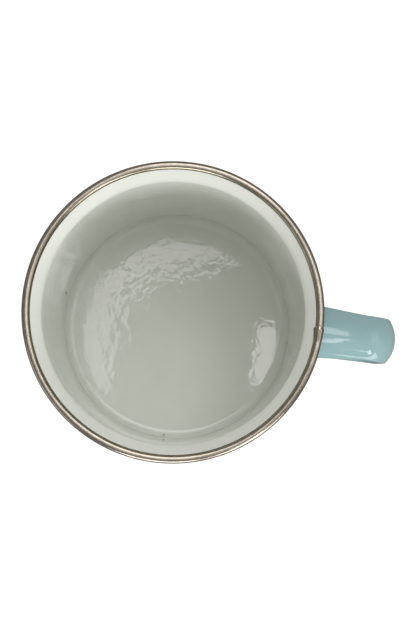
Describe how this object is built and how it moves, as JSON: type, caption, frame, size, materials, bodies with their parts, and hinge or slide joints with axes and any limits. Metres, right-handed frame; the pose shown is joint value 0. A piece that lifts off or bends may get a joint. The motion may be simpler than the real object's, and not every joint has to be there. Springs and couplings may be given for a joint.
{
  "type": "enamelled steel mug",
  "caption": "Straight-sided enamelled steel milk mug with a flared mouth, a crimped stainless rim and an arched strap handle.",
  "frame": {"origin": "centre of the flat resting face under the cup, on the cup's axis", "axes": "+Z along the cup's axis to the mouth, +X towards the handle, +Y to the left seen from the handle side"},
  "size_m": [0.115, 0.09, 0.0802],
  "materials": {
    "drawn_steel": "pickled low-carbon enamelling steel, hidden under the enamel",
    "cream_enamel": "glossy pale cream vitreous enamel with a slight orange peel",
    "blue_enamel": "glossy duck-egg blue vitreous enamel",
    "stainless_strip": "bright rolled stainless strip with fine lengthwise draw lines",
    "strap_steel": "pressed steel strap, hidden under the enamel",
    "weld_metal": "dark resistance weld, hidden under the enamel"
  },
  "bodies": {
    "root": {"inner_enamel": "cream_enamel", "steel_body": "drawn_steel", "outer_enamel": "blue_enamel", "rim_trim": "stainless_strip", "handle_strap": "strap_steel", "handle_enamel": "blue_enamel", "upper_weld": "weld_metal", "lower_weld": "weld_metal"}
  },
  "joints": []
}
